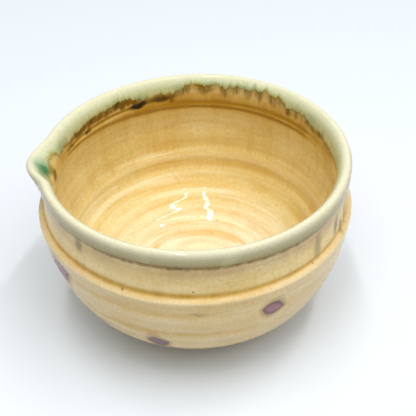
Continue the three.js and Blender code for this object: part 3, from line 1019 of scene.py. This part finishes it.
class TEABOWL_OT_clay(bpy.types.Operator):
    """Throw the clay body, up to its lip and down to the flat pad under it"""

    bl_idname = "tea_bowl.clay"
    bl_label = "Clay Body"

    def execute(self, context):
        s = sizes()
        outline = Outline(s)
        # The clay stops 0.05 mm short of the glaze's back.
        depth = s.glaze_thickness + 0.05
        # Rows lie 0.4 mm apart low on the wall, where the clay is bare, and 1.2 mm apart above.
        bare_height = 12
        rest = outline.end - bare_height
        bare = shares(bare_height, 0.4) * bare_height
        covered = bare_height + rest * shares(rest, 1.2)[1:]
        length = np.broadcast_to(np.vstack([bare, covered]), (len(bare) + len(covered), COLUMNS))
        wall = face_points(s, outline, length, depth)
        # The pad is turned flat, with grooves 1.6 mm apart and a small boss left in the middle.
        radius = shares(32, 0.4) * (s.foot_radius + s.pad_margin - depth)
        grooves = 0.1 * np.cos(radius * TURN / 1.6) * np.clip(radius / 3, 0, 1)
        boss = -0.8 * bump_at(radius, 0, half_width=3.5)
        pad = revolved(radius, FOOT_HEIGHT + 0.1 + grooves + boss)
        piece = build_piece("clay_body", np.concatenate([pad, wall]))
        clay = shared("bare_stoneware", bare_stoneware, context.scene.tea_bowl_glazes)
        place_piece(piece, "thrown_body", clay)
        return {"FINISHED"}


class TEABOWL_OT_foot(bpy.types.Operator):
    """Turn the foot ring that the bowl stands on"""

    bl_idname = "tea_bowl.foot"
    bl_label = "Foot Ring"

    def execute(self, context):
        s = sizes()
        outer = s.foot_radius
        inner = outer - s.foot_width
        bevel = s.foot_bevel
        spread = s.foot_spread
        corner = np.linspace(0, math.pi / 2, 7)
        flare = np.linspace(0, 1, 14)[1:]
        # Up the outside from the table, over the top and down the inside. Each side flares, and ends a little
        # way inside the pad.
        side = np.column_stack([spread * flare**2.2, bevel + (FOOT_HEIGHT + 0.2 - bevel) * flare])
        section = np.vstack([
            np.column_stack([outer - bevel + bevel * np.sin(corner), bevel - bevel * np.cos(corner)]),
            side + [outer, 0],
            (side * [-1, 1] + [inner, 0])[::-1],
            np.column_stack([inner + bevel - bevel * np.cos(corner), bevel - bevel * np.sin(corner)]),
        ])
        radius = section[:, :1]
        height = section[:, 1:]
        # The ring isn't quite round, and the turning tool left lines 1.1 mm apart on its sides.
        angle = round_bowl()
        wobble = 0.12 * np.sin(3 * angle + 1) + 0.08 * np.sin(7 * angle)
        lines = 0.05 * np.cos(height * TURN / 1.1) * np.sign(radius - (outer + inner) / 2)
        points = revolved(radius + (wobble + lines) * np.clip(height / bevel, 0, 1), height)
        piece = build_piece("foot_ring_turned", points)
        clay = shared("bare_stoneware", bare_stoneware, context.scene.tea_bowl_glazes)
        place_piece(piece, "foot_ring", clay)
        return {"FINISHED"}


class TEABOWL_OT_glazes(bpy.types.Operator):
    """Glaze the bowl: the outer coat down to its wavy edge, the rim coat, and the liner"""

    bl_idname = "tea_bowl.glazes"
    bl_label = "Glaze Coats"

    def execute(self, context):
        s = sizes()
        outline = Outline(s)
        # The outer coat ends in a line that waves 1.1 mm up and down.
        glaze_line = s.glaze_line + 1.1 * wander_noise(5, round_bowl(), np.zeros(COLUMNS), 9, 1)
        glaze = shared("ash_glaze_on_stoneware", ash_glaze, context.scene.tea_bowl_glazes)
        for node, slot, start, end, bead in (
            ("outer_glaze", "yellow_glaze", glaze_line, outline.rim_start, True),
            ("rim_glaze", "rim_glaze", outline.rim_start, outline.rim_end, False),
            ("liner_glaze", "yellow_glaze", outline.rim_end, outline.end, False),
        ):
            coat = glaze_coat(f"{node}_coat", s, outline, start, end, bead)
            place_piece(coat, node, glaze)
        return {"FINISHED"}


class TEABOWL_OT_stage(bpy.types.Operator):
    """Lay the floor and set up the lamps and the camera"""

    bl_idname = "tea_bowl.stage"
    bl_label = "Stage"

    def execute(self, context):
        stage = context.scene.tea_bowl_stage
        self.lay_floor(stage)
        self.hang_lamps(context, stage)
        self.place_camera(context, stage)
        return {"FINISHED"}

    def lay_floor(self, stage):
        half = 1.6  # metres, past the place where the paper has faded away
        corners = [(-half, -half, 0), (half, -half, 0), (half, half, 0), (-half, half, 0)]
        mesh = bpy.data.meshes.new("floor")
        mesh.from_pydata(corners, [], [(0, 1, 2, 3)])
        mesh.materials.append(plain_paper(stage.floor_colour))
        floor = bpy.data.objects.new("floor", mesh)
        bpy.context.scene.collection.objects.link(floor)

    def hang_lamps(self, context, stage):
        world = bpy.data.worlds.new("even_light")
        world.use_nodes = True
        tree = world.node_tree
        tree.nodes.clear()
        # The eye and the gloss see a white studio. Everything else gets the even light.
        rays = add(tree, "LightPath")
        seen = rays["Is Camera Ray"]
        for ray in ("Is Glossy Ray", "Is Transmission Ray"):
            seen = add(tree, "Math", {0: seen, 1: rays[ray]}, operation="MAXIMUM")[0]
        strength = add(tree, "MapRange", {0: seen, 3: stage.sky, 4: 0.95})[0]
        light = add(tree, "Background", {"Color": (0.96, 0.98, 1, 1), "Strength": strength})[0]
        add(tree, "OutputWorld", {"Surface": light})
        context.scene.world = world
        # Name, place and the point that it faces in metres, turn in degrees, width, length, radiance, and
        # whether the gloss shows it
        lamps = [
            ("softbox", (0.08, -0.42, 1.35), (0, -0.1, 0), 0, 1.8, 1.3, stage.softbox, False),
            ("window", (0.1, 1.0, 1.5), (0, 0, 0.04), 0, 1.5, 1.2, stage.window, False),
            ("side", (0.95, -0.25, 0.75), (0, 0, 0.04), 0, 0.8, 0.8, stage.side, False),
            ("tube_left", (-0.14, -0.12, 1.2), (-0.14, -0.12, 0), 0, 0.05, 0.8, stage.tube, True),
            ("tube_right", (0.3, -0.12, 1.2), (0.3, -0.12, 0), -22, 0.05, 0.8, stage.tube, True),
        ]
        for name, place, aim, spin, width, length, radiance, in_gloss in lamps:
            lamp = bpy.data.lights.new(name, "AREA")
            lamp.shape = "RECTANGLE"
            lamp.size = width
            lamp.size_y = length
            lamp.energy = radiance * math.pi * width * length
            lamp.color = (0.99, 0.99, 1)
            piece = bpy.data.objects.new(name, lamp)
            direction = Vector(aim) - Vector(place)
            turn = direction.to_track_quat("-Z", "Y").to_matrix().to_4x4()
            spun = Matrix.Rotation(math.radians(spin), 4, "Z")
            piece.matrix_world = Matrix.Translation(place) @ turn @ spun
            piece.visible_glossy = in_gloss
            context.scene.collection.objects.link(piece)

    def place_camera(self, context, stage):
        place = Vector(stage.camera_place)
        forward = (Vector(stage.camera_aim) - place).normalized()
        level = forward.cross(Vector((0, 0, 1))).normalized()
        upright = level.cross(forward)
        right = level * math.cos(stage.camera_roll) - upright * math.sin(stage.camera_roll)
        up = right.cross(forward)
        camera = bpy.data.cameras.new("camera")
        camera.lens = stage.camera_lens
        camera.sensor_width = 36
        camera.clip_start = 0.01
        piece = bpy.data.objects.new("camera", camera)
        turn = Matrix((right, up, -forward)).transposed().to_4x4()
        piece.matrix_world = Matrix.Translation(place) @ turn
        context.scene.collection.objects.link(piece)
        context.scene.camera = piece
        context.scene.view_settings.view_transform = "Standard"


class TEABOWL_PT_panel(bpy.types.Panel):
    """Sizes, colours and pieces of the tea bowl"""

    bl_idname = "TEABOWL_PT_panel"
    bl_label = "Tea Bowl"
    bl_space_type = "VIEW_3D"
    bl_region_type = "UI"
    bl_category = "Tea Bowl"

    def draw(self, context):
        for operator in OPERATORS:
            self.layout.operator(operator.bl_idname)
        for title, group in (
            ("Sizes", context.scene.tea_bowl_sizes),
            ("Colours", context.scene.tea_bowl_glazes),
            ("Stage", context.scene.tea_bowl_stage),
        ):
            box = self.layout.box()
            box.label(text=title)
            for key in type(group).__annotations__:
                box.prop(group, key)


OPERATORS = (TEABOWL_OT_clay, TEABOWL_OT_foot, TEABOWL_OT_glazes, TEABOWL_OT_stage)
GROUPS = {
    "tea_bowl_sizes": BowlSizes,
    "tea_bowl_glazes": GlazeColours,
    "tea_bowl_stage": StageSettings,
}


def register():
    for kind in (*GROUPS.values(), *OPERATORS, TEABOWL_PT_panel):
        bpy.utils.register_class(kind)
    for name, kind in GROUPS.items():
        setattr(bpy.types.Scene, name, PointerProperty(type=kind))


def unregister():
    for name in GROUPS:
        delattr(bpy.types.Scene, name)
    for kind in reversed((*GROUPS.values(), *OPERATORS, TEABOWL_PT_panel)):
        bpy.utils.unregister_class(kind)


def main():
    register()
    bpy.ops.tea_bowl.clay()
    bpy.ops.tea_bowl.foot()
    bpy.ops.tea_bowl.glazes()
    bpy.ops.tea_bowl.stage()


if __name__ == "__main__":
    main()
